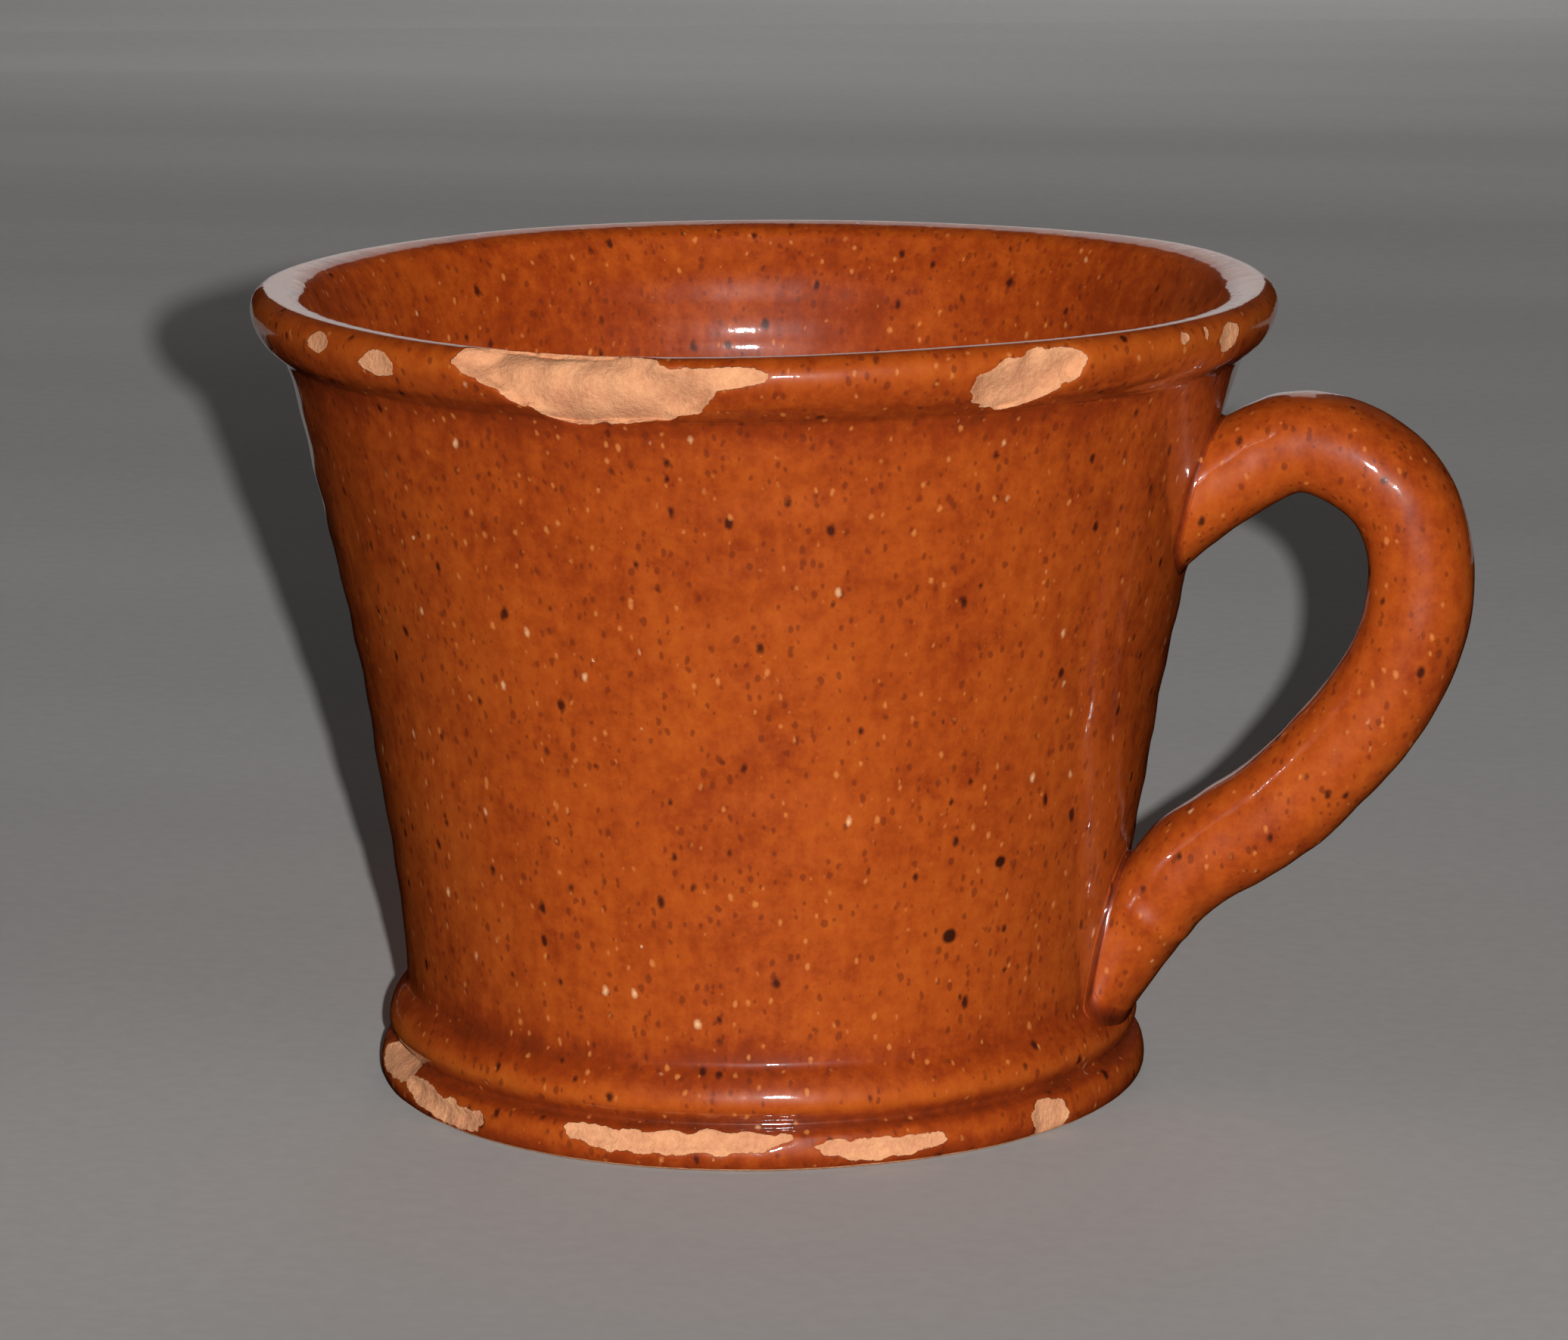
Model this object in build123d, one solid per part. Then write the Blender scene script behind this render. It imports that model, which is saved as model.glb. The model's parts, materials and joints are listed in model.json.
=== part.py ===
from build123d import *

# A redware shaving mug. A body is thrown on the wheel, a handle is pulled and bent to a loop, and a small
# half bowl for the soap is set against the inside of the wall. Each is luted on with wiped slip, and the
# whole mug then takes a coat of lead glaze, which is wiped off the foot. Knocks have broken chips out of
# the lip and the foot, through the glaze and into the clay.
#
# Millimetres. +Z is up, the origin is the centre of the foot's underside, and the handle is on +X.
# Sections are drawn as (distance from the mug's axis, height over the foot's underside).

import os
from math import cos, radians, sin

# The thrown body, measured over its glaze
HEIGHT = 85.6
MOUTH_RADIUS = 54.0
LIP_TOP = (52.3, HEIGHT)
NECK = (49.8, 77.0)  # the outside of the wall, where it starts to flare into the lip
WAIST = (38.2, 10.4)  # the outside of the wall, just over the foot
WALL_BOW = 1.3  # how far the middle of the wall bows in from a straight cone
WALL = 4.4
FLOOR = 7.4
FLOOR_CORNER = 7.0

# The foot, from the table up: a flange, a groove and a bead
FLANGE_RADIUS = 41.2
FLANGE_TOP = 4.0
GROOVE = (39.3, 4.7)
BEAD_RADIUS = 40.3

# The handle: its middle line, and its cross-section at shares of that line's length
HANDLE_LINE = [
    (36.0, 55.5),
    (48.0, 65.4),
    (58.0, 70.4),
    (67.6, 65.4),
    (70.3, 54.5),
    (66.0, 42.8),
    (56.5, 32.0),
    (46.5, 24.8),
    (40.8, 17.0),
    (36.4, 7.0),
]
HANDLE_SECTIONS = [  # share of the length, half thickness, half width
    (0.0, 5.6, 8.6),
    (0.14, 5.2, 7.4),
    (0.25, 5.3, 6.5),
    (0.45, 5.5, 6.2),
    (0.6, 5.7, 6.3),
    (0.75, 5.7, 6.6),
    (0.86, 4.9, 7.2),
    (0.94, 3.8, 7.6),
    (1.0, 2.3, 7.0),
]
HANDLE_SPANS = 18  # how many lengths it is made of

# The soap cup: a small bowl, of which the mug's own wall takes the place of the outer half
CUP_TOP = 74.0
CUP_DEPTH = 21.0
CUP_RADIUS = 24.0
CUP_WALL = 4.0
CUP_CORNER = 10.0
CUP_RIM_ROUND = 1.4
CUP_CENTRE = (0.0, -38.3)  # where the bowl's own axis stands
DRAIN_RADIUS = 1.9
DRAINS = [(0.0, -23.5), (-8.5, -28.5), (8.5, -28.5)]

# The slip wiped round each joint
LUTE = 1.1
LUTE_EDGE = 0.1  # the share of that which is left where the slip ends on the handle
UPPER_LUTE = (0.06, 0.2)  # shares of the handle's length that the slip runs from and to
LOWER_LUTE = (1.0, 0.76)
LUTE_SPANS = 4
CUP_LUTE_REACH = 2.4  # how far the slip comes in from the wall
CUP_LUTE_TOP = CUP_TOP - 1.5

# The coat of glaze
GLAZE = 0.3
BARE_FOOT = 0.9  # the glaze was wiped off up to this height
FLAKED_BACK = 0.25  # how much larger the loss of glaze is than the chip in the clay

# Chips: degrees round from +X, height of the middle, radius there, length round the mug, and depth
CHIPS = [
    (-96.0, 82.4, 54.0, 28.0, 2.3),
    (-47.3, 82.8, 54.0, 13.0, 1.2),
    (-133.3, 83.6, 54.0, 4.0, 0.6),
    (-122.4, 83.2, 54.0, 4.4, 0.6),
    (-16.0, 83.2, 54.0, 4.4, 0.6),
    (-150.5, 2.6, 41.2, 11.0, 0.8),
    (-132.0, 2.2, 41.2, 14.0, 0.85),
    (-90.0, 2.2, 41.2, 16.0, 0.88),
    (-58.0, 2.2, 41.2, 13.0, 0.85),
    (-29.0, 2.6, 41.2, 5.0, 0.7),
]

PAST = 10.0  # how far a cutting shape runs past what it cuts
ON_TOP = (Align.CENTER, Align.CENTER, Align.MAX)  # a solid that hangs down from its place


def outline(lines):
    """Lines and arcs that close, as a face standing in the XZ plane."""
    return Plane.XZ * make_face(Curve() + lines)


def zone(low, high):
    """The part of the XZ plane between two corners."""
    width, height = high[0] - low[0], high[1] - low[1]
    return Plane.XZ * Pos(low[0] + width / 2, low[1] + height / 2) * Rectangle(width, height)


def wall_arc(inset):
    """Three points of the wall's curve, this far in from its outer surface: a cone bowed in at the middle."""
    low = (WAIST[0] - inset, WAIST[1])
    high = (NECK[0] - inset, NECK[1])
    middle = ((low[0] + high[0]) / 2 - WALL_BOW, (low[1] + high[1]) / 2)
    return low, middle, high


def outside():
    """The body's outer surface, from past the axis at the underside to the top of the lip."""
    under = (FLANGE_RADIUS - 1.0, 0.0)
    ledge = (FLANGE_RADIUS - 0.5, FLANGE_TOP)
    bead_top = (38.9, 9.7)
    flare_end = (53.0, 81.4)
    wall = ThreePointArc(*wall_arc(0))
    return [
        Line((-PAST, 0), under),
        ThreePointArc(under, (FLANGE_RADIUS, 1.9), ledge),
        Line(ledge, GROOVE),
        ThreePointArc(GROOVE, (BEAD_RADIUS, 7.2), bead_top),
        Line(bead_top, WAIST),
        wall,
        TangentArc(NECK, flare_end, tangent=wall % 1),
        ThreePointArc(flare_end, (MOUTH_RADIUS, 83.8), LIP_TOP),
    ]


def inside():
    """The body's inner surface, from the top of the lip to past the axis on the floor."""
    low, middle, high = wall_arc(WALL)
    shoulder = (48.4, 84.0)
    wall = ThreePointArc((low[0], FLOOR), middle, high)
    return [
        ThreePointArc(LIP_TOP, (50.1, 85.3), shoulder),
        TangentArc(high, shoulder, tangent=wall % 1),
        wall,
        Line((low[0], FLOOR), (-PAST, FLOOR)),
    ]


def spun(section):
    """A section, less what lies past the axis, turned into a solid."""
    right_half = zone((0, -PAST), (MOUTH_RADIUS + PAST, HEIGHT + PAST))
    return revolve(section & right_half, axis=Axis.Z)


def handle_section(share, grow):
    """The handle's cross-section this far along it, an oval that stands square to its middle line."""
    pairs = zip(HANDLE_SECTIONS, HANDLE_SECTIONS[1:])
    before, after = next(pair for pair in pairs if share <= pair[1][0])
    part = (share - before[0]) / (after[0] - before[0])
    half_thickness = before[1] + part * (after[1] - before[1]) + grow
    half_width = before[2] + part * (after[2] - before[2]) + grow
    plane = Plane(origin=handle_path @ share, x_dir=(0, 1, 0), z_dir=handle_path % share)
    return plane * Ellipse(half_width, half_thickness)


def limb(grow):
    """The whole handle, with its surface moved out by this much."""
    return loft([handle_section(i / HANDLE_SPANS, grow) for i in range(HANDLE_SPANS + 1)])


def wiped_slip(ends, grow):
    """The slip round one end of the handle, thinning out along it, with the handle still inside."""
    sections = []
    for i in range(LUTE_SPANS + 1):
        along = i / LUTE_SPANS
        thickness = LUTE * (1 - along * (1 - LUTE_EDGE))
        sections.append(handle_section(ends[0] + along * (ends[1] - ends[0]), thickness + grow))
    return loft(sections)


def bowl_block(grow):
    """The outside of the soap cup's whole bowl, filled to its rim and moved out by this much."""
    place = Pos(CUP_CENTRE[0], CUP_CENTRE[1], CUP_TOP)
    block = place * Cylinder(CUP_RADIUS + grow, CUP_DEPTH + grow, align=ON_TOP)
    return fillet(block.edges().group_by(Axis.Z)[0], CUP_CORNER + grow)


def bowl():
    """The soap cup's whole bowl with its drain holes."""
    place = Pos(CUP_CENTRE[0], CUP_CENTRE[1], CUP_TOP)
    pocket = place * Cylinder(CUP_RADIUS - CUP_WALL, CUP_DEPTH - CUP_WALL, align=ON_TOP)
    cup = bowl_block(0) - fillet(pocket.edges().group_by(Axis.Z)[0], CUP_CORNER - CUP_WALL)
    cup = fillet(cup.edges().group_by(Axis.Z)[-1], CUP_RIM_ROUND)
    for x, y in DRAINS:
        cup -= Pos(x, y, CUP_TOP) * Cylinder(DRAIN_RADIUS, CUP_DEPTH + PAST, align=ON_TOP)
    return cup


def cup_slip():
    """The slip under the soap cup, near the mug's wall."""
    near_wall = spun(offset(body_section, CUP_LUTE_REACH))
    below_rim = Pos(0, 0, CUP_LUTE_TOP) * Cylinder(MOUTH_RADIUS, HEIGHT, align=ON_TOP)
    return (bowl_block(LUTE) - bowl_block(0)) & near_wall & below_rim


def scars(larger):
    """The cutter of each chip: a slice of a ball as large as leaves a hollow of the chip's length and depth."""
    cutters = []
    for angle, height, radius, length, depth in CHIPS:
        half = length / 2
        ball = half**2 / 2 / (depth - half**2 / 2 / radius)
        reach = radius - depth + ball
        place = Pos(reach * cos(radians(angle)), reach * sin(radians(angle)), height)
        slice_of_it = Pos(0, 0, height) * Cylinder(MOUTH_RADIUS + PAST, length)
        cutters.append((place * Sphere(ball + larger)) & slice_of_it)
    return cutters


# The body, its clay, the clay with its hollow filled, and the hollow
body_section = outline(outside() + inside() + [Line((-PAST, FLOOR), (-PAST, 0))])
floor_edge = body_section.vertices().sort_by_distance((WAIST[0] - WALL, 0, FLOOR))[0]
body_section = fillet(floor_edge, FLOOR_CORNER)
block_section = outline(outside() + [Line(LIP_TOP, (-PAST, HEIGHT)), Line((-PAST, HEIGHT), (-PAST, 0))])
bare_foot = body_section & zone((0, 0), (FLANGE_RADIUS, BARE_FOOT))
clay_section = offset(body_section, -GLAZE) + bare_foot
clay_block = spun(offset(block_section, -GLAZE) + bare_foot)
clay_hollow = clay_block - spun(clay_section)
handle_path = Spline([(x, 0, z) for x, z in HANDLE_LINE])

# The clay pieces
thrown_body = spun(clay_section) - scars(0)
clay_limb = limb(-GLAZE)
handle = clay_limb - clay_block
upper_lute = wiped_slip(UPPER_LUTE, -GLAZE) - clay_block - handle
lower_lute = wiped_slip(LOWER_LUTE, -GLAZE) - clay_block - handle
soap_cup = bowl() & clay_hollow
cup_lute = cup_slip() & clay_hollow

# The coat of glaze. The soap cup and its slip are drawn over theirs.
clay_in_handle_coat = clay_limb + wiped_slip(UPPER_LUTE, -GLAZE) + wiped_slip(LOWER_LUTE, -GLAZE)
coated_limb = limb(0) + wiped_slip(UPPER_LUTE, 0) + wiped_slip(LOWER_LUTE, 0)
handle_glaze = coated_limb - clay_in_handle_coat - clay_block
body_glaze = spun(body_section - clay_section) - coated_limb - soap_cup - cup_lute
body_glaze -= scars(FLAKED_BACK)

PIECES = {
    "thrown_body": thrown_body,
    "handle": handle,
    "upper_handle_lute": upper_lute,
    "lower_handle_lute": lower_lute,
    "soap_cup": soap_cup,
    "soap_cup_lute": cup_lute,
    "body_glaze": body_glaze,
    "handle_glaze": handle_glaze,
}

os.makedirs("parts", exist_ok=True)
for name, piece in PIECES.items():
    export_step(piece, f"parts/{name}.step")
    print(f"{name}: {len(piece.solids())} solid(s), {piece.volume / 1000:.2f} cm3")
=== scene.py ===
import json

import bpy
import numpy as np
from mathutils import Matrix, Vector

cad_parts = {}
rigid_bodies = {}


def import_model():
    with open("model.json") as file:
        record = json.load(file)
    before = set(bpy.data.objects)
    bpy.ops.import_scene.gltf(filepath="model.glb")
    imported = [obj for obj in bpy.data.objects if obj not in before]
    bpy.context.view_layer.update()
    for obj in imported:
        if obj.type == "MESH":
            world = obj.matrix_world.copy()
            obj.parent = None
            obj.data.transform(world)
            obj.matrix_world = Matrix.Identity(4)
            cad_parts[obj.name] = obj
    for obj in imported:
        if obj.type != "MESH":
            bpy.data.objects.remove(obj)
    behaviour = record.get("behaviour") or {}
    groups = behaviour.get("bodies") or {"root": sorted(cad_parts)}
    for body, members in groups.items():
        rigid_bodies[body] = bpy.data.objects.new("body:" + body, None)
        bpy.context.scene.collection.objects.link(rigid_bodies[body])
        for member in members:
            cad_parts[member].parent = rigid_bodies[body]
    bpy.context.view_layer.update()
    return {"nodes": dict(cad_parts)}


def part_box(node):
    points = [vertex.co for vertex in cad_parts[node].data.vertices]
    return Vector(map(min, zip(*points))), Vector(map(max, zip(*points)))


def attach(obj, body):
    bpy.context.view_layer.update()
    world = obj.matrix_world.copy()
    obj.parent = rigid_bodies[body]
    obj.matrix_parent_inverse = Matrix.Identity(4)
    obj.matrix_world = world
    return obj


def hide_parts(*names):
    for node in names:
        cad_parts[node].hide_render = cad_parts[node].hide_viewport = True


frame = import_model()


# The body is red earthenware, thrown on a wheel in one piece and turned at the foot, then dipped in
# a clear lead glaze that the iron in the clay stains amber. Wear has knocked flakes off the lip and
# the foot, down to the pale fired clay, and the underside was left bare.

LIP_HEIGHT = 85.6
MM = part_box("body_glaze")[1].z / LIP_HEIGHT  # metres for one drawn millimetre

# (radius, height) in mm: from the middle of the underside, round the foot and up to the lip's top
OUTSIDE = [(0.5, 0.35), (30, 0.3), (36, 0.05), (39.5, 0), (40.6, 0.25), (41.15, 1.2), (41.1, 2.6),
           (40.6, 3.9), (39.8, 4.35), (39.3, 4.7), (39.6, 5.3), (40.2, 6.3), (40.25, 7.2), (39.9, 8.3),
           (39.2, 9.4), (38.5, 10.2), (38.2, 10.9), (38.3, 12.5), (38.9, 18.3), (40, 26.7), (41.3, 34.5),
           (42.3, 41.5), (43.9, 50), (46, 60), (48.2, 70), (49.1, 74), (49.9, 77), (50.35, 78.2),
           (50.75, 78.9), (51.6, 79.55), (52.9, 80.7), (53.8, 82.4), (54, 83.8), (53.6, 84.9), (52.6, 85.6)]
# and from the lip's top down the inside to the middle of the floor
INSIDE = [(51.2, 85.55), (49.8, 85.2), (48.8, 84.5), (48.3, 83.6), (47.5, 82.2), (46.3, 80), (45.4, 77),
          (44.7, 74), (43.8, 70), (41.6, 60), (39.5, 50), (37.9, 41.5), (36.8, 34), (35.4, 26),
          (34.4, 18.5), (33.6, 14), (32.3, 10.6), (30.2, 8.6), (27, 7.6), (20, 7.4), (0.5, 7.6)]
FOOT_KNOT = 3                                # the mug stands on this point of OUTSIDE
FINE, COARSE, PLAIN = 0.5, 2.0, 6.0          # spacing of rows: at lip and foot, on the walls, underneath
LIP_FROM, FOOT_TO, HOLLOW_TO = 76, 11.5, 36  # the lip's and foot's heights, and the radius underneath
COLUMNS = 480
CROWDING = 0.42                              # columns lie this share closer at the front than evenly
FRONT = np.radians(-85)
DRIFT, DRIFT_TO = 1.04, np.radians(14)       # the throw leans: the lip lies this far over, mm, this way
LEAN = DRIFT * np.array([np.cos(DRIFT_TO), np.sin(DRIFT_TO)])


def through(points, steps):
    """A smooth line through points. On each span it is the Catmull-Rom cubic: half of the sum of
    2b + (c - a)t + (2a - 5b + 4c - d)t^2 + (3b - a - 3c + d)t^3, for neighbours a, b, c, d."""
    p = np.asarray(points, float)
    p = np.vstack([2 * p[0] - p[1], p, 2 * p[-1] - p[-2]])
    span = np.repeat(np.arange(len(steps)), steps)
    t = np.concatenate([np.arange(n) / n for n in steps])[:, None]
    a, b, c, d = p[span], p[span + 1], p[span + 2], p[span + 3]
    curve = (2 * a - 5 * b + 4 * c - d) * t ** 2 + (3 * b - a - 3 * c + d) * t ** 3
    return np.vstack([0.5 * (2 * b + (c - a) * t + curve), p[-2]])


def lengths(line):
    """The distance along a line to each of its points: the running sum of its steps' lengths."""
    return np.concatenate([[0], np.cumsum(np.linalg.norm(np.diff(line, axis=0), axis=1))])


def lumps(points, size, seed, waves=22):
    """Smooth unevenness of about one: a sum of cosines along random directions, with wavelengths
    of 0.7 to 1.5 times size and random phases, divided by the square root of their number."""
    draw = np.random.default_rng(seed)
    way = draw.normal(size=(waves, 3))
    way /= np.linalg.norm(way, axis=1, keepdims=True) * (size * draw.uniform(0.7, 1.5, (waves, 1)))
    return np.cos(2 * np.pi * (points @ way.T + draw.uniform(0, 1, waves))).sum(-1) / np.sqrt(waves)


def leaning(points):
    """Points shifted sideways by the lean, in proportion to their height."""
    return points + np.concatenate([points[..., 2:] / LIP_HEIGHT * LEAN, 0 * points[..., 2:]], -1)


def skin(name, grid, ring=False, **values):
    """A closed mesh over a grid of points in mm, [row, column]. Columns close into a ring. Rows
    join one to the next, and a fan of triangles to their middle closes the first and the last row,
    unless ring is true and the last row joins the first. Faces are turned outwards by the sign of
    the volume they close. Each of values is kept on the vertices, one number a point."""
    rows, columns = grid.shape[:2]
    index = np.arange(rows * columns).reshape(rows, columns)
    low, high = (index, np.roll(index, -1, 0)) if ring else (index[:-1], index[1:])
    quads = np.stack([low, np.roll(low, -1, 1), np.roll(high, -1, 1), high], -1).reshape(-1, 4)
    points = grid.reshape(-1, 3)
    tris = np.empty((0, 3), int)
    if not ring:
        points = np.vstack([points, grid[0].mean(0), grid[-1].mean(0)])
        first, last, total = index[0], index[-1], len(points)
        tris = np.vstack([np.stack([np.roll(first, -1), first, np.full(columns, total - 2)], 1),
                          np.stack([last, np.roll(last, -1), np.full(columns, total - 1)], 1)])
    corner = points[quads]
    sweep = sum(np.cross(corner[:, i], corner[:, (i + 1) % 4]) for i in range(4))
    if np.einsum("ij,ij->", sweep, corner.mean(1)) < 0:
        quads, tris = quads[:, ::-1], tris[:, ::-1]
    mesh = bpy.data.meshes.new(name)
    mesh.from_pydata((leaning(points) * MM).tolist(), [], quads.tolist() + tris.tolist())
    mesh.shade_smooth()
    for value, numbers in values.items():
        layer = mesh.attributes.new(value, "FLOAT", "POINT")
        ends = [] if ring else [numbers[0].mean(), numbers[-1].mean()]
        layer.data.foreach_set("value", np.append(numbers.ravel(), ends).astype(np.float32))
    piece = bpy.data.objects.new(name, mesh)
    bpy.context.scene.collection.objects.link(piece)
    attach(piece, "root")
    return piece


# Rows follow the profile. Their rise is the height on the outside, and counts on past the lip
# inside, so the floor is at almost twice the lip's height.
knots = np.array(OUTSIDE + INSIDE)
middle = (knots[1:] + knots[:-1]) / 2
before_lip = np.arange(len(middle)) < len(OUTSIDE)
on_foot = (middle[:, 1] < FOOT_TO) & (middle[:, 0] > HOLLOW_TO) & before_lip
spacing = np.where((middle[:, 1] > LIP_FROM) | on_foot, FINE, COARSE)
spacing = np.where((middle[:, 1] < 1) & (middle[:, 0] < HOLLOW_TO), PLAIN, spacing)
steps = np.ceil(np.linalg.norm(np.diff(knots, axis=0), axis=1) / spacing).astype(int)
profile = through(knots, steps)
foot_row, lip_row = steps[:FOOT_KNOT].sum(), steps[:len(OUTSIDE) - 1].sum()
row = np.arange(len(profile))
skin_length = lengths(profile)
rise = np.where(row <= lip_row, profile[:, 1], 2 * LIP_HEIGHT - profile[:, 1])
rise = np.maximum.accumulate(rise * (row >= foot_row))

turn = np.linspace(-np.pi, np.pi, COLUMNS, endpoint=False)
azimuth = (turn - CROWDING * np.sin(turn - FRONT) + np.pi) % (2 * np.pi) - np.pi
outward = np.stack([np.cos(azimuth), np.sin(azimuth), 0 * azimuth], -1)[None]
upward = np.array([0, 0, 1.0])
body = profile[:, :1, None] * outward + profile[:, 1:, None] * upward

# The wheel and the hand leave their marks: a spiral of finger rings, an oval lip, and soft lumps.
RINGS_OUT, RINGS_IN, RING_PITCH = 0.07, 0.22, 6.2     # how deep outside and inside, and how far apart
RINGS_GROW, RINGS_FADE = (10, 22), (74, 80)           # between these heights, mm
OVAL, OVAL_TURN = 0.3, 0.6                            # the lip is wider one way by this, mm and radians
LUMPS = [(0.12, 34, 1), (0.035, 7, 2)]                # (how high, how wide in mm, seed)
WAVY_LIP = (0.22, 70, 3)
height = profile[:, 1:]
on_wall = np.clip(profile[:, 0] / 20 - 1, 0, 1)[:, None]     # nothing moves in the middle of the floor
grown = np.clip((height - RINGS_GROW[0]) / (RINGS_GROW[1] - RINGS_GROW[0]), 0, 1)
faded = np.clip((RINGS_FADE[1] - height) / (RINGS_FADE[1] - RINGS_FADE[0]), 0, 1)
rings = np.where((row > lip_row)[:, None], RINGS_IN, RINGS_OUT) * (grown * faded)
bulge = rings * np.sin(2 * np.pi * (height / RING_PITCH - azimuth[None] / (2 * np.pi)))
bulge = bulge + OVAL * np.cos(2 * azimuth + OVAL_TURN)[None] * (height / LIP_HEIGHT) ** 2 * on_wall
for high, wide, seed in LUMPS:
    bulge = bulge + high * lumps(body, wide, seed) * on_wall
body = body + bulge[..., None] * outward
high, wide, seed = WAVY_LIP
near_lip = np.clip((rise / LIP_HEIGHT - 0.9) * 10, 0, 1)[:, None]
body[..., 2] += high * lumps(body * [1, 1, 0], wide, seed) * near_lip

# Flakes lost at the lip and the foot. Each is a rough outline of (degrees, rise in mm), then how
# deep the clay went with it, and how far the blow came from above, in degrees.
FLAKES = [
    ([(-111, 84.2), (-107.4, 82.5), (-103.7, 80.8), (-99, 78.7), (-95.7, 78.5), (-86.1, 79.5), (-81.1, 82),
      (-83.7, 84.6), (-86.3, 85.1), (-93, 85.8), (-107, 85.8), (-110.3, 85.3)], 1.9, 25),
    ([(-84, 84.7), (-80, 84.9), (-76, 84.6), (-75.7, 83.6), (-79, 82.9), (-83, 82.6)], 0.35, 20),
    ([(-54.3, 81.6), (-52.5, 83.2), (-49, 84.5), (-45, 85.1), (-41.5, 84.8), (-40.2, 83.4), (-41.8, 81.6),
      (-44.5, 80.4), (-48.5, 79.3), (-52.5, 80)], 1.4, 15),
    ([(-136, 83.6), (-133, 84.9), (-130.6, 84.2), (-132.5, 82.9)], 0.4, 25),
    ([(-125.4, 82.6), (-123.5, 84.3), (-120.5, 84.1), (-119.4, 82.5), (-122, 81.8)], 0.4, 25),
    ([(-26.3, 84), (-25.5, 85), (-24.5, 84.6), (-24.9, 83.7)], 0.3, 25),
    ([(-21.4, 84), (-21, 85), (-20.4, 84.4), (-20.9, 83.7)], 0.3, 25),
    ([(-18.3, 83.4), (-16.8, 84.8), (-13.5, 84.4), (-14.2, 82.6), (-16.6, 81.9)], 0.5, 25),
    ([(-159.5, 3), (-156, 5.2), (-150, 5.8), (-143.4, 4.6), (-141.6, 3.4), (-147, 2.4), (-155, 2.3)],
     0.8, 20),
    ([(-143.5, 3.6), (-138, 4), (-130, 3.5), (-123, 3.2), (-120.8, 2.2), (-124, 0.9), (-131, 0.6),
      (-138, 1.4), (-142.5, 2.4)], 0.9, 10),
    ([(-106.5, 3.5), (-103, 4.1), (-95, 3.9), (-85, 4.2), (-76, 4.1), (-71.5, 3.6), (-78, 2.1), (-86, 2),
      (-93, 1.7), (-100, 2), (-104.5, 2.6)], 0.7, 20),
    ([(-69.6, 2.9), (-64, 3.3), (-56, 3.1), (-50, 2.9), (-48.6, 2), (-53, 1.2), (-60, 0.8), (-66, 1.6)],
     0.6, 10),
    ([(-33.4, 2.4), (-31, 4), (-27, 3.4), (-24.6, 1.6), (-27, 0.3), (-31, 0.1)], 0.6, 10),
]
ROUNDED = 3                                  # points of smooth line to each corner of an outline
RAGGED = 0.28                                # how far a broken edge wanders, mm
BOWL = 2.6                                   # a scar is at full depth this far in from its edge, mm
GLAZED_FROM = 0.75                           # the glaze was wiped off the foot up to this height, mm


def inside_outline(x, y, outline):
    """How far each point lies inside an outline, negative outside: the least distance to its
    sides, with its sign from whether a line to the right crosses the sides an odd number of times."""
    nearest, odd = np.full(x.shape, 1e9), np.zeros(x.shape, bool)
    level = y + 1e-7                         # just off the corners, so that none is counted twice
    for (ax, ay), (bx, by) in zip(outline, np.roll(outline, -1, 0)):
        along = ((x - ax) * (bx - ax) + (y - ay) * (by - ay)) / ((bx - ax) ** 2 + (by - ay) ** 2)
        along = np.clip(along, 0, 1)
        nearest = np.minimum(nearest, np.hypot(x - ax - along * (bx - ax), y - ay - along * (by - ay)))
        odd ^= ((ay > level) != (by > level)) & (x < ax + (level - ay) * (bx - ax) / (by - ay + 1e-12))
    return np.where(odd, nearest, -nearest)


wander = RAGGED * lumps(body, 2.6, 5) + 0.5 * RAGGED * lumps(body, 1.1, 6)
bare = np.full(body.shape[:2], -9.0)
across = skin_length[:, None] + 0 * azimuth[None]
for outline, depth, tilt in FLAKES:
    degrees, heights = np.array(outline, float).T
    radius = profile[np.searchsorted(rise, heights.mean()), 0]
    corners = np.stack([np.radians(degrees) * radius, np.interp(heights, rise, skin_length)], -1)
    corners = through(np.vstack([corners, corners[:1]]), [ROUNDED] * len(corners))[:-1]
    within = inside_outline(azimuth[None] * radius + 0 * across, across, corners) + wander * min(1, depth)
    hollow = depth * (1 - (1 - np.clip(within / BOWL, 0, 1)) ** 2) * (1 + 0.10 * lumps(body, 3.2, 7))
    blow = np.cos(np.radians(tilt)) * outward + np.sin(np.radians(tilt)) * upward
    body = body - hollow[..., None] * blow
    bare = np.maximum(bare, within)
body[..., 2] = np.maximum(body[..., 2], 0)
under = np.where(row < foot_row + 4, 1.6 * (GLAZED_FROM - profile[:, 1]), -9)[:, None]
bare = np.clip(1 + np.maximum(bare, under), 0, 4)      # an edge of bare clay is at 1, and 0 is all glaze

# Where the glaze gathered thick (above 0) or drew thin (below 0), by rise: (rise, spread, amount). The last
# two are painted shade that darkens the whole inside of the mug, most towards its floor.
POOLING_AND_SHADE = [(4.7, 0.9, 0.9), (10.4, 2.4, 0.45), (78.4, 1.8, 0.4), (83.9, 1.4, -0.45), (7, 1.2, -0.35),
            (1, 0.9, 0.5), (2 * LIP_HEIGHT - 14, 12, 0.7), (2 * LIP_HEIGHT - 50, 40, 0.5)]
# One patch over the foot is darker, where soot caught the glaze in the kiln.
SOOT_AT, SOOT_SPREAD, SOOT = (np.radians(-125), 10.6), (0.32, 2.0), 0.6     # each (radians, rise)
gathered = sum(amount * np.exp(-((rise - level) / spread) ** 2) for level, spread, amount in POOLING_AND_SHADE)
soot = np.exp(-((azimuth - SOOT_AT[0]) / SOOT_SPREAD[0]) ** 2)[None]
soot = soot * np.exp(-((rise - SOOT_AT[1]) / SOOT_SPREAD[1]) ** 2)[:, None]
gathered = gathered[:, None] + SOOT * soot


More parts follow.
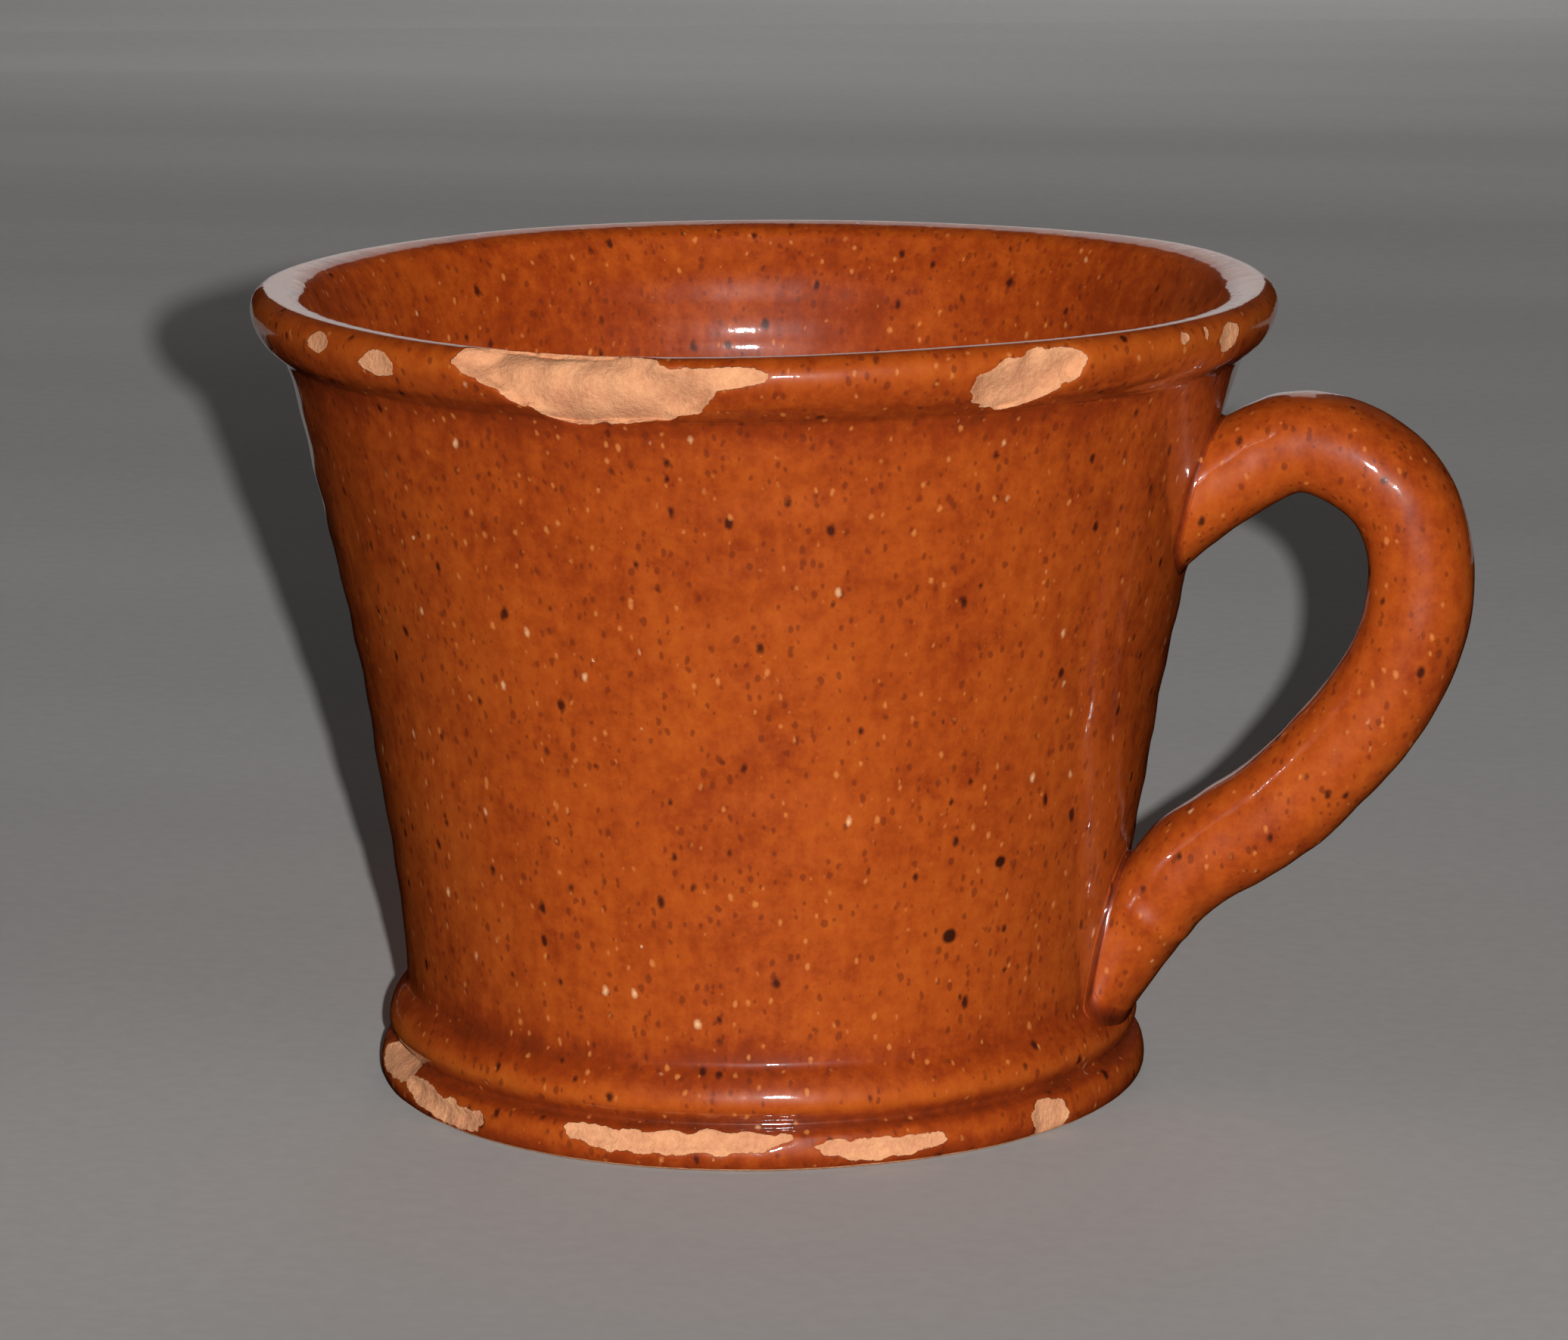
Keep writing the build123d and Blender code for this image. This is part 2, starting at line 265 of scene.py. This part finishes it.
def linear(colour):
    """The sRGB hex colour as linear red, green, blue and 1: each share c below 0.04045 becomes
    c / 12.92, and any other ((c + 0.055) / 1.055) to the power 2.4."""
    shares = np.array([int(colour[i:i + 2], 16) / 255 for i in (1, 3, 5)])
    value = np.where(shares <= 0.04045, shares / 12.92, ((shares + 0.055) / 1.055) ** 2.4)
    return (*value.tolist(), 1.0)


def add(tree, kind, links=(), **settings):
    """Adds a node of that kind with its settings, and fills its sockets: each of links names a
    socket and gives a plain value, or another node's socket to join it to."""
    node = tree.nodes.new("ShaderNode" + kind)
    for name, value in settings.items():
        setattr(node, name, value)
    for socket, value in dict(links).items():
        if isinstance(value, bpy.types.NodeSocket):
            tree.links.new(value, node.inputs[socket])
        else:
            node.inputs[socket].default_value = value
    return node


# The glaze's colour, from where it is thin to where it pooled; painted shade darkens it along the same scale.
GLAZE = [(0.5, "#A04C15"), (0.78, "#913D0F"), (1.0, "#7A2C0A"), (1.5, "#401509")]
# the darkening value below holds pooled glaze, kiln soot, and painted shade inside the mug and round the
# handle's ends
DARKENING_REACH = 0.42                                # how much of that scale a gathered value of 1 goes
STREAK = 0.22                                # runs are drawn out to the inverse of this, down the wall
# Iron specks and pale pits, one to a cell: (cell in mm, largest radius as a share of the cell, share
# of the cells that stay empty, colour, strength). The first are the faint ones between the others.
# The last two, the pale pits, are pinholes and bubbles whose pale colour is partly painted glints of light.
SPECKS = [(0.85, 0.48, 0.28, "#5A200C", 0.6), (1.9, 0.32, 0.40, "#2E0E08", 0.9),
          (1.2, 0.30, 0.25, "#B87038", 0.65), (3.2, 0.15, 0.45, "#E8BE8C", 0.85)]
SPECK_HEIGHT = 0.62                          # their cells are stretched to the inverse of this, upwards
BURNT = "#180806"                            # the two largest iron spots
CLAY_DARK, CLAY_PALE = "#A66A4C", "#CC946A"


def lead_glaze(name, marks, flakes):
    """Amber lead glaze over red earthenware: a glossy clear coat over mottled iron-stained brown,
    with dark iron specks, a few pale pits that are partly painted glints, and dry granular clay
    wherever the value bare says.
    marks are dark spots and flakes small bare ones: (x, y, z in mm, radius in mm)."""
    material = bpy.data.materials.new(name)
    material.use_nodes = True
    tree = material.node_tree
    tree.nodes.clear()
    where = add(tree, "TexCoord").outputs["Object"]
    tall = add(tree, "Mapping", {"Vector": where, "Scale": (1, 1, STREAK)}).outputs[0]

    # clouds 13 mm across, grain 1.8 mm across, and runs 1.6 mm wide drawn out down the wall
    mix = 0.0
    for place, size, detail, roughness, weight in [(where, 13, 3, 0.55, 0.5), (where, 1.8, 6, 0.72, 0.75),
                                                   (tall, 1.6, 4, 0.6, 0.35)]:
        noise = add(tree, "TexNoise", {"Vector": place, "Scale": 1 / (size * MM), "Detail": detail,
                                       "Roughness": roughness})
        mix = add(tree, "Math", {0: noise.outputs[0], 1: weight, 2: mix}, operation="MULTIPLY_ADD").outputs[0]
    # darkening read from the mesh: pooled glaze and soot, and painted shade inside the mug and in the
    # handle's creases
    gather = add(tree, "Attribute", attribute_name="gathered").outputs["Fac"]
    mix = add(tree, "Math", {0: gather, 1: DARKENING_REACH, 2: mix}, operation="MULTIPLY_ADD").outputs[0]
    thin, pooled = GLAZE[0][0], GLAZE[-1][0]
    scaled = add(tree, "MapRange", {0: mix, 1: thin, 2: pooled, 3: 0.0, 4: 1.0}).outputs[0]
    ramp = add(tree, "ValToRGB", {0: scaled})
    ramp.color_ramp.elements[0].color = linear(GLAZE[0][1])
    ramp.color_ramp.elements[1].color = linear(GLAZE[-1][1])
    for darkness, tone in GLAZE[1:-1]:
        ramp.color_ramp.elements.new((darkness - thin) / (pooled - thin)).color = linear(tone)
    colour = ramp.outputs[0]

    # specks, pulled out of round by a noise that shifts them a few tenths of a millimetre
    uneven = add(tree, "TexNoise", {"Vector": where, "Scale": 1 / (0.9 * MM), "Detail": 2})
    uneven = add(tree, "VectorMath", {0: uneven.outputs["Color"], 1: (0.55 * MM,) * 3, 2: where},
                 operation="MULTIPLY_ADD").outputs[0]
    squeezed = add(tree, "Mapping", {"Vector": uneven, "Scale": (1, 1, SPECK_HEIGHT)}).outputs[0]
    # the pale kinds are pinholes painted partly as glints of light
    for cell, reach, empty, tone, strength in SPECKS:
        cells = add(tree, "TexVoronoi", {"Vector": squeezed, "Scale": 1 / (cell * MM), "Randomness": 1.0})
        pick = add(tree, "SeparateColor", {0: cells.outputs["Color"]}).outputs[0]
        size = add(tree, "MapRange", {0: pick, 1: empty, 2: 1.0, 3: 0.0, 4: reach}).outputs[0]
        fleck = add(tree, "Math", {0: size, 1: cells.outputs["Distance"]}, operation="SUBTRACT").outputs[0]
        fleck = add(tree, "MapRange", {0: fleck, 1: 0.0, 2: 0.16, 3: 0.0, 4: strength}).outputs[0]
        colour = add(tree, "Mix", {0: fleck, 6: colour, 7: linear(tone)}, data_type="RGBA").outputs[2]
    for x, y, z, radius in marks:
        away = add(tree, "VectorMath", {0: where, 1: (x * MM, y * MM, z * MM)}, operation="DISTANCE")
        fade = add(tree, "MapRange", {0: away.outputs["Value"], 1: radius * 0.6 * MM, 2: radius * MM,
                                      3: 0.92, 4: 0.0}).outputs[0]
        colour = add(tree, "Mix", {0: fade, 6: colour, 7: linear(BURNT)}, data_type="RGBA").outputs[2]

    # bare clay, buff and grainy, with a ragged edge a few tenths of a millimetre deep
    bare = add(tree, "Attribute", attribute_name="bare").outputs["Fac"]
    for x, y, z, radius in flakes:
        away = add(tree, "VectorMath", {0: where, 1: (x * MM, y * MM, z * MM)}, operation="DISTANCE")
        near = add(tree, "Math", {0: away.outputs["Value"], 1: -1 / MM, 2: 1 + radius},
                   operation="MULTIPLY_ADD").outputs[0]
        bare = add(tree, "Math", {0: bare, 1: near}, operation="MAXIMUM").outputs[0]
    ragged = add(tree, "TexNoise", {"Vector": where, "Scale": 1 / (0.9 * MM), "Detail": 4, "Roughness": 0.6})
    edge = add(tree, "Math", {0: ragged.outputs[0], 1: 0.7, 2: bare}, operation="MULTIPLY_ADD").outputs[0]
    clay = add(tree, "MapRange", {0: edge, 1: 1.3, 2: 1.38, 3: 0.0, 4: 1.0}).outputs[0]
    sand = add(tree, "TexNoise", {"Vector": where, "Scale": 1 / (0.55 * MM), "Detail": 4, "Roughness": 0.7})
    patch = add(tree, "TexNoise", {"Vector": where, "Scale": 1 / (4.5 * MM), "Detail": 3, "Roughness": 0.6})
    dusty = add(tree, "Math", {0: sand.outputs[0], 1: 0.55, 2: -0.05}, operation="MULTIPLY_ADD").outputs[0]
    dusty = add(tree, "Math", {0: patch.outputs[0], 1: 0.6, 2: dusty}, operation="MULTIPLY_ADD").outputs[0]
    buff = add(tree, "ValToRGB", {0: dusty})
    for element, position, tone in zip(buff.color_ramp.elements, (0.28, 0.72), (CLAY_DARK, CLAY_PALE)):
        element.position, element.color = position, linear(tone)
    colour = add(tree, "Mix", {0: clay, 6: colour, 7: buff.outputs[0]}, data_type="RGBA").outputs[2]
    cover = add(tree, "Math", {0: 1.0, 1: clay}, operation="SUBTRACT").outputs[0]

    # the glaze ripples faintly, every 3.5 mm or so, and the clay is as rough as a broken biscuit
    ripple = add(tree, "TexNoise", {"Vector": tall, "Scale": 1 / (3.5 * MM), "Detail": 2, "Roughness": 0.5})
    pits = add(tree, "TexNoise", {"Vector": where, "Scale": 1 / (0.8 * MM), "Detail": 3, "Roughness": 0.6})
    relief = add(tree, "Math", {0: pits.outputs[0], 1: 0.10, 2: ripple.outputs[0]}, operation="MULTIPLY_ADD")
    gloss = add(tree, "Bump", {"Height": relief.outputs[0], "Strength": 1.0,
                               "Distance": 0.10 * MM}).outputs[0]
    rough = add(tree, "Math", {0: sand.outputs[0], 1: clay}, operation="MULTIPLY").outputs[0]
    crust = add(tree, "Bump", {"Height": rough, "Strength": 1.0, "Distance": 0.22 * MM, "Normal": gloss})
    roughness = add(tree, "MapRange", {0: clay, 1: 0.0, 2: 1.0, 3: 0.42, 4: 0.92}).outputs[0]

    # under the coat, glass meets clay soaked in it, so that surface hardly mirrors: a low specular level
    shader = add(tree, "BsdfPrincipled", {"Base Color": colour, "Roughness": roughness, "IOR": 1.5,
                                          "Specular IOR Level": 0.1,
                                          "Coat Weight": cover, "Coat Roughness": 0.05, "Coat IOR": 1.6,
                                          "Normal": crust.outputs[0], "Coat Normal": gloss})
    add(tree, "OutputMaterial", {"Surface": shader.outputs[0]})
    return material


def spot(degrees, height, radius):
    """The place of a mark on the body's outside, at that azimuth and height, with its radius: the
    skin's radius there, turned by the azimuth and moved over by the lean's share."""
    out = np.interp(height, profile[foot_row:lip_row, 1], profile[foot_row:lip_row, 0])
    return (out * np.cos(np.radians(degrees)) + LEAN[0] * height / LIP_HEIGHT,
            out * np.sin(np.radians(degrees)) + LEAN[1] * height / LIP_HEIGHT, height, radius)


amber_glaze = lead_glaze("amber_lead_glaze_on_redware",
                         marks=[spot(-47.2, 23.1, 1.0), spot(-39.5, 30.4, 0.8)],
                         flakes=[spot(-94.2, 23.1, 0.25), spot(-98.6, 53.5, 0.3), spot(-125.4, 64.2, 0.3)])
mug_body = skin("mug_body", body, bare=bare, gathered=gathered)
mug_body.data.materials.append(amber_glaze)
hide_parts("thrown_body", "body_glaze")


# The handle is a strap of the same clay, pulled by hand from a lump until it tapered, bent into a
# loop and set on the wall while both were leather hard. A thumb pressed its lower end flat on one side.

HANDLE_LINE = [(36, 55.5), (48, 65.4), (58, 70.4), (67.6, 65.4), (70.3, 54.5), (66, 42.8), (56.5, 32),
               (46.5, 24.8), (40.8, 17), (36.4, 7)]          # its middle, (x, height) in mm, top end first
# (share of the length, half thickness, half width)
HANDLE_SIZES = [(0, 5.6, 8.6), (0.14, 5.2, 7.4), (0.25, 5.3, 6.5), (0.45, 5.5, 6.2), (0.6, 5.7, 6.3),
                (0.75, 5.7, 6.6), (0.86, 5, 7.4), (0.94, 4.1, 8.4), (1, 2.6, 8.6)]
HANDLE_ROWS, HANDLE_COLUMNS = 220, 96
SQUARENESS = 2.25                            # 2 would make the section an ellipse
BURIED = 2.0                                 # how far its ends reach into the wall, mm
THUMB = (0.93, -70, 1.4, 4.4)                # the thumb's dent: share, degrees round, depth and spread
RIDGE = (0.868, 0.45, 0.011)                 # the ridge above it: share, height, and spread as a share

handle_line = through(HANDLE_LINE, [24] * (len(HANDLE_LINE) - 1))
handle_length = lengths(handle_line)[-1]
handle_share = lengths(handle_line) / handle_length
handle_sizes = through(HANDLE_SIZES, [12] * (len(HANDLE_SIZES) - 1))


def limb(share, angle, proud=0.0):
    """Points on the handle's surface. The middle line is read at share of its length, and the
    section there is a superellipse in the plane of the line's normal and the y axis: half
    thickness times the signed power 2/n of cosine, and half width times that of sine."""
    x, z = (np.interp(share, handle_share, handle_line[:, i]) for i in (0, 1))
    step = 0.01
    dx, dz = (np.interp(np.clip(share + step, 0, 1), handle_share, handle_line[:, i])
              - np.interp(np.clip(share - step, 0, 1), handle_share, handle_line[:, i]) for i in (0, 1))
    size = np.hypot(dx, dz)
    thick, wide = (np.interp(share, handle_sizes[:, 0], handle_sizes[:, i]) + proud for i in (1, 2))
    power = 2 / SQUARENESS
    out = thick * np.sign(np.cos(angle)) * np.abs(np.cos(angle)) ** power
    side = wide * np.sign(np.sin(angle)) * np.abs(np.sin(angle)) ** power
    return np.stack([x - out * dz / size, side + 0 * x, z + out * dx / size], -1)


def handle_surface(share, angle):
    """The handle's surface as the hand left it: the limb, moved in or out along its own skin by
    soft lumps, a thumb's dent (a bell curve of the distance from its middle) and the ridge that
    the thumb pushed up above it (a bell curve along the handle, on the side of the dent)."""
    plain = limb(share, angle)
    thumb = limb(np.array(THUMB[0]), np.radians(THUMB[1]))
    dent = THUMB[2] * np.exp(-(np.linalg.norm((plain - thumb) / [1, 1, 1.5], axis=-1) / THUMB[3]) ** 2)
    ridge = RIDGE[1] * np.exp(-((share - RIDGE[0]) / RIDGE[2]) ** 2) * np.clip(-np.sin(angle - 0.4), 0, 1)
    relief = 0.10 * lumps(plain, 16, 11) + 0.04 * lumps(plain, 5, 12) - dent + ridge
    return plain + relief[..., None] * (plain - limb(share, angle, -1))


def wall_depth(points):
    """How far points lie outside the wall's outer skin: their radius less the skin's at their height."""
    out = np.interp(points[..., 2], profile[foot_row:lip_row, 1], profile[foot_row:lip_row, 0])
    return np.hypot(points[..., 0], points[..., 1]) - out


def meeting(angle, depth, lower):
    """The share of the handle's length where each line along it passes depth below the wall's
    skin, at its upper or lower end: the place between two of 600 steps where the sign changes."""
    share = np.linspace(0.5, 1.0 if lower else 0.0, 600)[:, None]
    beyond = wall_depth(handle_surface(share, angle[None])) + depth
    first = np.argmax(beyond < 0, axis=0)
    first = np.where((beyond < 0).any(0), first, len(share) - 1)
    here, past = (np.take_along_axis(beyond, (first - k)[None], 0)[0] for k in (1, 0))
    part = np.clip(here / (here - past + 1e-12), 0, 1)
    return share[first - 1, 0] + part * (share[first, 0] - share[first - 1, 0])


around = np.linspace(0, 2 * np.pi, HANDLE_COLUMNS, endpoint=False)
top_end, bottom_end = meeting(around, BURIED, False), meeting(around, BURIED, True)
handle_at = top_end + (bottom_end - top_end) * np.linspace(0, 1, HANDLE_ROWS)[:, None]
pulled_handle = skin("pulled_handle", handle_surface(handle_at, around[None]),
                     bare=0 * handle_at, gathered=0 * handle_at)
pulled_handle.data.materials.append(amber_glaze)
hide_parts("handle", "handle_glaze")


# The slip is wet clay, wiped round each end of the handle with a finger to close the seam. The
# glaze ran over it and pooled there, so it is darker, and that darkening is also painted shade in the
# crease where the handle meets the wall.

LUTES = {"upper": (False, 1.3, 1.2), "lower": (True, 1.6, 1.6)}     # lower end, mm up the handle and wall
LUTE_ROWS = 10                               # across the wiped face
# the darkening along the wiped face is pooled glaze and painted shade of the crease
LUTE_POOL_AND_SHADE = 1.3                                 # the gathered value along its middle
UNDER_WALL, UNDER_SEAM, UNDER_HANDLE = 0.8, (1.2, 0.6), 0.8         # how far its back lies below, mm

for end, (lower, up_handle, over_wall) in LUTES.items():
    seam = meeting(around, 0.0, lower)
    corner = handle_surface(seam, around)
    start = handle_surface(seam + (-1 if lower else 1) * up_handle / handle_length, around)
    radial = corner * [1, 1, 0] / np.linalg.norm(corner * [1, 1, 0], axis=1, keepdims=True)
    away = corner - corner.mean(0)
    away -= (away * radial).sum(1, keepdims=True) * radial
    away /= np.linalg.norm(away, axis=1, keepdims=True)
    finish = corner + away * over_wall
    finish -= wall_depth(finish)[:, None] * radial

    # the wiped face is a quadratic curve from the handle to the wall that the seam's corner pulls in
    t = np.linspace(0, 1, LUTE_ROWS)[:, None, None]
    face = (1 - t) ** 2 * start + 2 * t * (1 - t) * corner + t ** 2 * finish
    back = np.stack([finish - UNDER_WALL * radial, corner - UNDER_SEAM[0] * radial - UNDER_SEAM[1] * away,
                     start - UNDER_HANDLE * away])
    lute = np.concatenate([face, back])
    over_face = np.minimum(np.arange(len(lute)), LUTE_ROWS - 1) / (LUTE_ROWS - 1)
    # painted crease shade with the pooled glaze, darkest along the middle of the wiped face
    darkness = LUTE_POOL_AND_SHADE * np.sin(np.pi * over_face)[:, None] + 0 * lute[..., 0]
    piece = skin(f"{end}_handle_slip", lute, ring=True, bare=0 * lute[..., 0], gathered=darkness)
    piece.data.materials.append(amber_glaze)
    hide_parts(f"{end}_handle_lute")


# The soap cup is a half bowl of the same clay, shaped by hand with drain holes, stuck inside the wall
# with wiped slip while both were leather hard, and glazed along with the mug. Its CAD meshes show.

for name in ("soap_cup", "soap_cup_lute"):
    for slot in frame["nodes"][name].material_slots:
        slot.material = amber_glaze


# The mug stands on a wide sheet of pale paper that rises far behind it. One small bright light a
# little to the right of the camera, as a studio flash gives, and dim soft light from above and behind.

MUG_TURN = 14                                # degrees: the camera, paper and lamps are turned about the mug
HEADING, PITCH, ROLL = 13.92, 12.0, -0.52    # degrees: the camera turned, looking down, tipped
LENS, SENSOR = 130.9, 36
EYE = Vector((1.88, -597.71, 170.71))        # the camera's place, mm, before that turn
MUG_MIDDLE = Vector((0, 0, 45))              # the lamps point here
PAPER_WIDTH = 2400                           # to each side, mm
PAPER_LINE = [(-2400, 0), (-900, 0), (500, 0), (1300, 0), (1700, 60), (1950, 260), (2020, 700), (2030, 1400)]
MIRRORED_WIDTH, MIRRORED_FROM = 360, 267     # the glaze mirrors only the paper straight behind the mug
PAPER_DARK, PAPER_PALE = "#969492", "#ACAAA8"
ROOM, ROOM_LIGHT = "#B4B2B0", 0.007

facing = Matrix.Rotation(np.radians(MUG_TURN), 4, "Z")
sheet = through(PAPER_LINE, [4, 6, 6, 8, 10, 8, 6])
side = np.linspace(-PAPER_WIDTH, PAPER_WIDTH, 41)
paper = np.stack(np.broadcast_arrays(side[None], sheet[:, :1], sheet[:, 1:]), -1)
index = np.arange(paper[..., 0].size).reshape(paper.shape[:2])
quads = np.stack([index[:-1, :-1], index[:-1, 1:], index[1:, 1:], index[1:, :-1]], -1).reshape(-1, 4)
paper = paper.reshape(-1, 3)
behind = ((np.abs(paper[quads, 0].mean(1)) < MIRRORED_WIDTH)
          & (paper[quads, 1].mean(1) > MIRRORED_FROM))
papers = []
for name, part in (("near_paper", ~behind), ("far_paper", behind)):
    used, faces = np.unique(quads[part], return_inverse=True)
    mesh = bpy.data.meshes.new(name)
    mesh.from_pydata((paper[used] * MM).tolist(), [], faces.reshape(-1, 4).tolist())
    mesh.transform(facing)
    papers.append(bpy.data.objects.new(name, mesh))
    bpy.context.scene.collection.objects.link(papers[-1])
papers[0].visible_glossy = False

# Matt uncoated paper scatters light evenly and mirrors nothing. Its fibres show as a fine grain
# 2.5 mm long, and faint bands 180 mm deep run across the sheet.
matt_paper = bpy.data.materials.new("matt_paper")
matt_paper.use_nodes = True
tree = matt_paper.node_tree
tree.nodes.clear()
where = add(tree, "TexCoord").outputs["Object"]
turned = add(tree, "Mapping", {"Vector": where, "Rotation": (0, 0, np.radians(-MUG_TURN)),
                               "Scale": (0.15, 1, 1)}).outputs[0]
bands = add(tree, "TexNoise", {"Vector": turned, "Scale": 1 / (180 * MM), "Detail": 3, "Roughness": 0.5})
fibre = add(tree, "TexNoise", {"Vector": where, "Scale": 1 / (2.5 * MM), "Detail": 4, "Roughness": 0.7})
shade = add(tree, "Math", {0: fibre.outputs[0], 1: 0.35, 2: bands.outputs[0]}, operation="MULTIPLY_ADD")
tone = add(tree, "MapRange", {0: shade.outputs[0], 1: 0.4, 2: 0.95, 3: 0.0, 4: 1.0}).outputs[0]
tone = add(tree, "Mix", {0: tone, 6: linear(PAPER_DARK), 7: linear(PAPER_PALE)}, data_type="RGBA").outputs[2]
shader = add(tree, "BsdfPrincipled", {"Base Color": tone, "Roughness": 0.9, "Specular IOR Level": 0.1})
add(tree, "OutputMaterial", {"Surface": shader.outputs[0]})
for part in papers:
    part.data.materials.append(matt_paper)

mug_only = bpy.data.collections.new("mug_only")
for piece in bpy.context.scene.objects:
    if piece.type == "MESH" and piece not in papers:
        mug_only.objects.link(piece)


def lamp(name, place, watts, width, only=None, even=False):
    """A disc of light of that width at place, in mm, turned to the mug's middle. It lights only the given
    collection if one is named, and if it is even its light doesn't weaken with distance."""
    light = bpy.data.lights.new(name, "AREA")
    light.energy, light.shape, light.size = watts, "DISK", width * MM
    if even:
        light.use_nodes = True
        tree = light.node_tree
        falloff = add(tree, "LightFalloff", {"Strength": 1.0})
        tree.links.new(falloff.outputs["Constant"], tree.nodes["Emission"].inputs["Strength"])
    piece = bpy.data.objects.new(name, light)
    bpy.context.scene.collection.objects.link(piece)
    place = facing @ Vector(place)
    piece.location = place * MM
    piece.rotation_euler = (place - MUG_MIDDLE).to_track_quat("Z", "Y").to_euler()
    piece.visible_glossy = even
    if only:
        piece.light_linking.receiver_collection = only


lamp("flash", EYE + Vector((22, 0, 6)), 17.4, 7, even=True)
lamp("overhead", (300, 100, 1300), 0.03, 900)
lamp("backdrop_light", (120, 1500, 450), 2.0, 400)
lamp("left_behind", (-400, 1000, 400), 8, 500, only=mug_only)
lamp("right_behind", (400, 1000, 400), 8, 500, only=mug_only)
world = bpy.data.worlds.new("room")
bpy.context.scene.world = world
world.use_nodes = True
world.node_tree.nodes["Background"].inputs["Color"].default_value = linear(ROOM)
world.node_tree.nodes["Background"].inputs["Strength"].default_value = ROOM_LIGHT
world.cycles_visibility.glossy = False

lens = bpy.data.cameras.new("camera")
lens.lens, lens.sensor_width, lens.clip_start, lens.clip_end = LENS, SENSOR, 0.02, 20
camera = bpy.data.objects.new("camera", lens)
bpy.context.scene.collection.objects.link(camera)
camera.matrix_world = (Matrix.Translation(facing @ (EYE * MM))
                       @ Matrix.Rotation(np.radians(HEADING), 4, "Z")
                       @ Matrix.Rotation(np.radians(90 - PITCH), 4, "X")
                       @ Matrix.Rotation(np.radians(ROLL), 4, "Z"))
bpy.context.scene.camera = camera
bpy.context.scene.view_settings.view_transform = "Standard"
